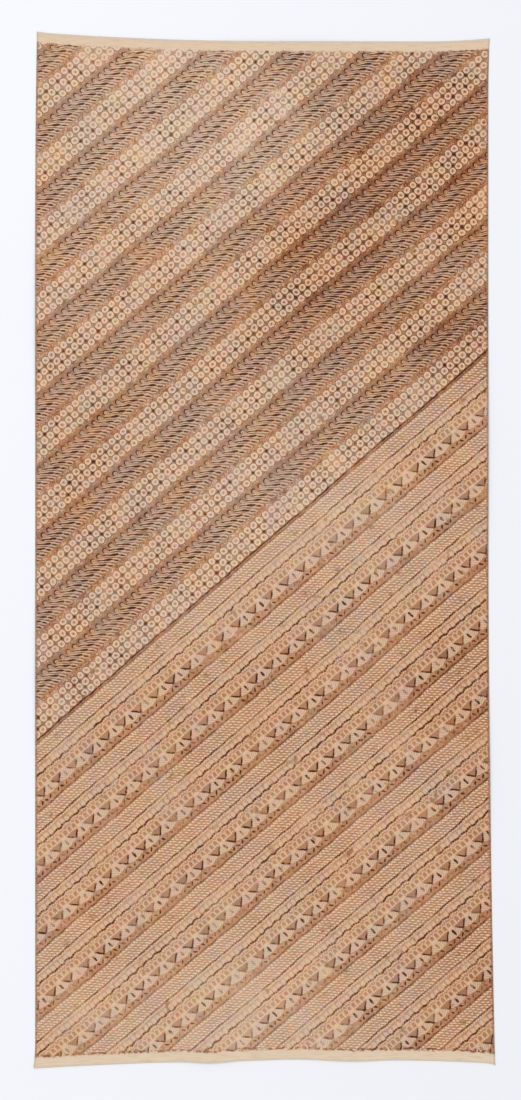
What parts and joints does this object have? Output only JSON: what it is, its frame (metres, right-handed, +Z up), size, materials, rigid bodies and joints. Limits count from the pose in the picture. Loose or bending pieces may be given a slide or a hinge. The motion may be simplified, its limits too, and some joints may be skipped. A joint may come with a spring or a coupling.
{
  "type": "batik cloth",
  "caption": "Flat length of thin cotton batik, patterned in slanting bands in two layouts, with narrow turned hems on both short ends.",
  "frame": {"origin": "under the middle of the cloth, on the surface that it rests on", "axes": "+Y along the cloth, to the end shown at the top of the picture; +X across it, to the picture's right; +Z up, out of its face"},
  "size_m": [1.08, 2.426, 0.005],
  "materials": {
    "cloth": "matt plain-woven cotton, wax-resist dyed in browns on cream, the same on both sides"
  },
  "bodies": {
    "root": {"cloth": "cloth"}
  },
  "joints": []
}
